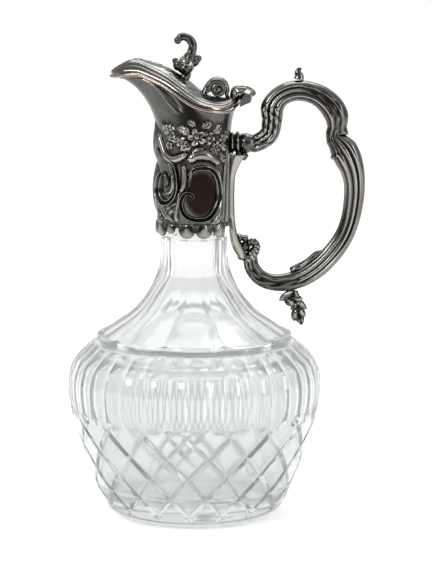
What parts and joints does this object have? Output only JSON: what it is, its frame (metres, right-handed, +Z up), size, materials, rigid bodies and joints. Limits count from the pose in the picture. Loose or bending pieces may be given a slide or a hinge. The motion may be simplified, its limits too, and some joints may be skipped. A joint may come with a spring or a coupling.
{
  "type": "claret jug",
  "caption": "Cut-glass jug with a long neck, a silver-plated mount with scroll ornament, a looped scroll handle and a hinged lid over the spout.",
  "frame": {"origin": "centre of the flat base that the jug stands on, on the axis of the glass", "axes": "+Z up along the axis of the glass, -X towards the spout, +X towards the handle, +Y across the jug along the lid's hinge axis"},
  "size_m": [0.1737, 0.1484, 0.2824],
  "materials": {
    "crystal": "polished and cut",
    "plaster": "matte",
    "silver_plate": "polished silver plate with dark recesses",
    "bright_plate": "polished silver plate, rubbed bright",
    "steel": "plain"
  },
  "bodies": {
    "jug": {"glass_body": "crystal", "plaster_bedding": "plaster", "mount_collar": "silver_plate", "rim_wire": "bright_plate", "shell_border": "silver_plate", "back_strap": "silver_plate", "cartouche_near": "silver_plate", "cartouche_far": "silver_plate", "flower_spray_near": "silver_plate", "flower_spray_far": "silver_plate", "front_scrolls": "silver_plate", "handle_socket": "silver_plate", "handle": "silver_plate", "handle_crest_leaf": "silver_plate", "handle_drop_leaf": "silver_plate", "handle_inner_leaf": "silver_plate", "handle_bracket": "silver_plate", "hinge_mount_knuckles": "silver_plate", "hinge_pin": "bright_plate"},
    "lid_assembly": {"lid": "silver_plate", "lid_volute": "silver_plate", "lid_tail_leaf": "silver_plate", "lid_finial": "silver_plate", "finial_screw": "steel", "finial_nut": "steel", "hinge_lid_knuckle": "silver_plate"}
  },
  "joints": [
    {"name": "lid_hinge", "type": "hinge", "parent": "jug", "child": "lid_assembly", "pos_m": [0.0304, 0, 0.2445], "axis": [0, 1, 0], "range_deg": [0, 95]}
  ]
}
